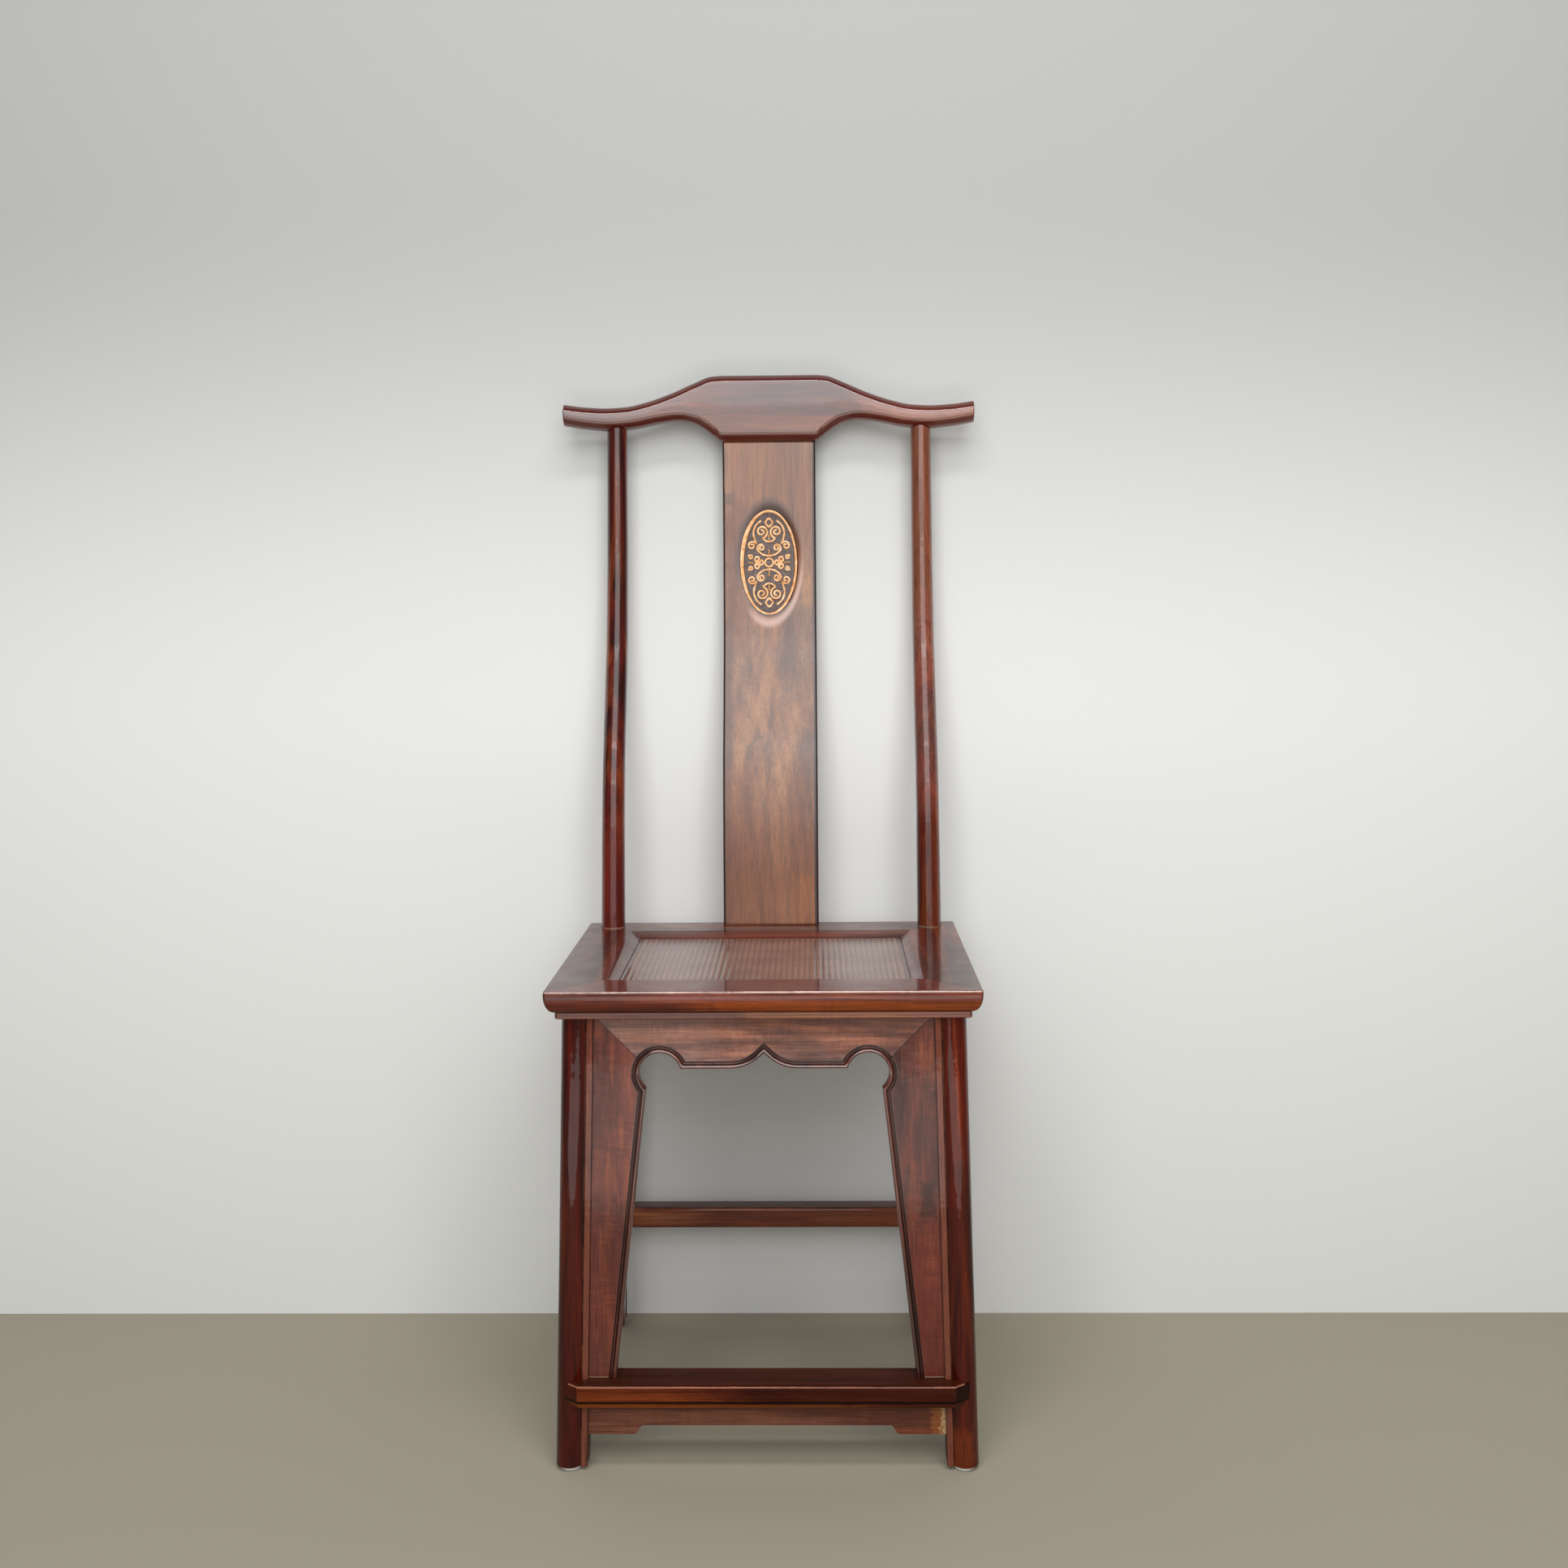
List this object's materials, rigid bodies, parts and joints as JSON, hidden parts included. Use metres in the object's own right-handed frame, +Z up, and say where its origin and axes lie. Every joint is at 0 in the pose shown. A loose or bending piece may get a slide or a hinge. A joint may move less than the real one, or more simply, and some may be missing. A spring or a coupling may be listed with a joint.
{
  "type": "high-back side chair",
  "caption": "High-back hardwood side chair with a yoke-shaped crest rail, curved splat and posts, matted panel seat, shaped aprons and a footrail.",
  "frame": {"origin": "middle of the chair's footprint on the floor, halfway between the footrail's front and the crest rail's back", "axes": "the chair faces -Y, +Z is up and the chair is the same on both sides of the plane x = 0; left and right are as seen from the front"},
  "size_m": [0.4926, 0.4672, 1.1557],
  "materials": {
    "crest_lacquered_wood": "semi-gloss clear lacquer over red-brown stain",
    "splat_lacquered_wood": "semi-gloss clear lacquer over mid-brown stain",
    "post_lacquered_wood": "glossy maroon lacquer",
    "leg_lacquered_wood": "glossy maroon lacquer",
    "frame_lacquered_wood": "glossy maroon lacquer, orange-brown low on the edge",
    "apron_lacquered_wood": "semi-gloss lacquer over red-brown stain",
    "rail_lacquered_wood": "semi-gloss lacquer over red-brown stain",
    "unlacquered_wood": "bare wood",
    "woven_cane": "woven and varnished dark brown",
    "white_plastic": "moulded white"
  },
  "bodies": {
    "root": {"crest_rail": "crest_lacquered_wood", "back_splat": "splat_lacquered_wood", "rear_post_left": "post_lacquered_wood", "rear_post_right": "post_lacquered_wood", "front_leg_left": "leg_lacquered_wood", "front_leg_right": "leg_lacquered_wood", "seat_frame_front": "frame_lacquered_wood", "seat_frame_rear": "frame_lacquered_wood", "seat_frame_left": "frame_lacquered_wood", "seat_frame_right": "frame_lacquered_wood", "front_apron": "apron_lacquered_wood", "front_spandrel_left": "apron_lacquered_wood", "front_spandrel_right": "apron_lacquered_wood", "side_apron_left": "apron_lacquered_wood", "side_apron_right": "apron_lacquered_wood", "side_spandrel_left_front": "apron_lacquered_wood", "side_spandrel_left_rear": "apron_lacquered_wood", "side_spandrel_right_front": "apron_lacquered_wood", "side_spandrel_right_rear": "apron_lacquered_wood", "rear_apron": "apron_lacquered_wood", "footrail_apron": "apron_lacquered_wood", "footrail": "rail_lacquered_wood", "rear_stretcher": "rail_lacquered_wood", "side_stretcher_left": "rail_lacquered_wood", "side_stretcher_right": "rail_lacquered_wood", "seat_board": "unlacquered_wood", "seat_batten_left": "unlacquered_wood", "seat_batten_right": "unlacquered_wood", "seat_mat": "woven_cane", "glide_front_left": "white_plastic", "glide_front_right": "white_plastic", "glide_rear_left": "white_plastic", "glide_rear_right": "white_plastic"}
  },
  "joints": []
}
